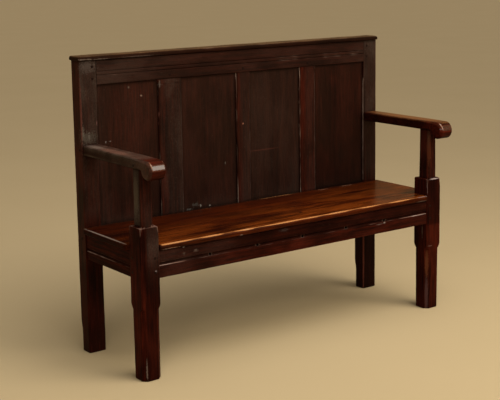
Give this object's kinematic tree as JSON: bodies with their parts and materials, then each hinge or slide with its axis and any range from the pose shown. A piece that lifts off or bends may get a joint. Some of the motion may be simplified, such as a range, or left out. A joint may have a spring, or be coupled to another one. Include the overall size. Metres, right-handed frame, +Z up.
{
  "type": "settle bench",
  "caption": "Joined oak settle bench with a tall panelled back, open arms with rolled fronts, a nosed board seat and stop-chamfered legs.",
  "frame": {"origin": "on the floor, under the middle of the whole bench", "axes": "+X along the seat towards the right end as seen from the front, +Y from the front to the back, +Z up"},
  "size_m": [1.332, 0.483, 1.016],
  "materials": {
    "oak_upright": "dark waxed oak, upright grain, worn arrises",
    "oak_rail": "dark waxed oak, grain along the bench",
    "oak_side_rail": "dark waxed oak, grain front to back",
    "oak_panel": "dark waxed oak with reddish bands",
    "oak_arm": "polished by hands, warm brown on top",
    "oak_seat": "polished by use, red-brown with dark streaks",
    "oak_hidden": "unpolished oak",
    "oak_peg": "dark end grain"
  },
  "bodies": {
    "root": {"front_post_right": "oak_upright", "front_post_left": "oak_upright", "rear_post_right": "oak_upright", "rear_post_left": "oak_upright", "arm_right": "oak_arm", "arm_left": "oak_arm", "side_rail_right": "oak_side_rail", "side_rail_left": "oak_side_rail", "front_seat_rail": "oak_rail", "lower_back_rail": "oak_rail", "top_rail": "oak_rail", "cap_board": "oak_rail", "muntin_1": "oak_upright", "muntin_2": "oak_upright", "muntin_3": "oak_upright", "back_panel_1": "oak_panel", "back_panel_2": "oak_panel", "back_panel_3": "oak_panel", "back_panel_4": "oak_panel", "seat_board": "oak_seat", "seat_batten": "oak_hidden", "front_rail_peg_1_right": "oak_peg", "front_rail_peg_1_left": "oak_peg", "front_rail_peg_2_right": "oak_peg", "front_rail_peg_2_left": "oak_peg", "side_rail_peg_1_right": "oak_peg", "side_rail_peg_1_left": "oak_peg", "side_rail_peg_2_right": "oak_peg", "side_rail_peg_2_left": "oak_peg", "side_rail_peg_3_right": "oak_peg", "side_rail_peg_3_left": "oak_peg", "side_rail_peg_4_right": "oak_peg", "side_rail_peg_4_left": "oak_peg", "back_rail_peg_1_right": "oak_peg", "back_rail_peg_1_left": "oak_peg", "back_rail_peg_2_right": "oak_peg", "back_rail_peg_2_left": "oak_peg", "top_rail_peg_1_right": "oak_peg", "top_rail_peg_1_left": "oak_peg", "top_rail_peg_2_right": "oak_peg", "top_rail_peg_2_left": "oak_peg", "arm_peg_1_right": "oak_peg", "arm_peg_1_left": "oak_peg", "arm_peg_2_right": "oak_peg", "arm_peg_2_left": "oak_peg", "muntin_1_peg_1": "oak_peg", "muntin_1_peg_2": "oak_peg", "muntin_2_peg_1": "oak_peg", "muntin_2_peg_2": "oak_peg", "muntin_3_peg_1": "oak_peg", "muntin_3_peg_2": "oak_peg", "batten_peg_1": "oak_peg", "batten_peg_2": "oak_peg", "batten_peg_3": "oak_peg", "cap_rail_peg_1": "oak_peg", "cap_rail_peg_2": "oak_peg", "cap_post_peg_1": "oak_peg", "cap_post_peg_2": "oak_peg"}
  },
  "joints": []
}
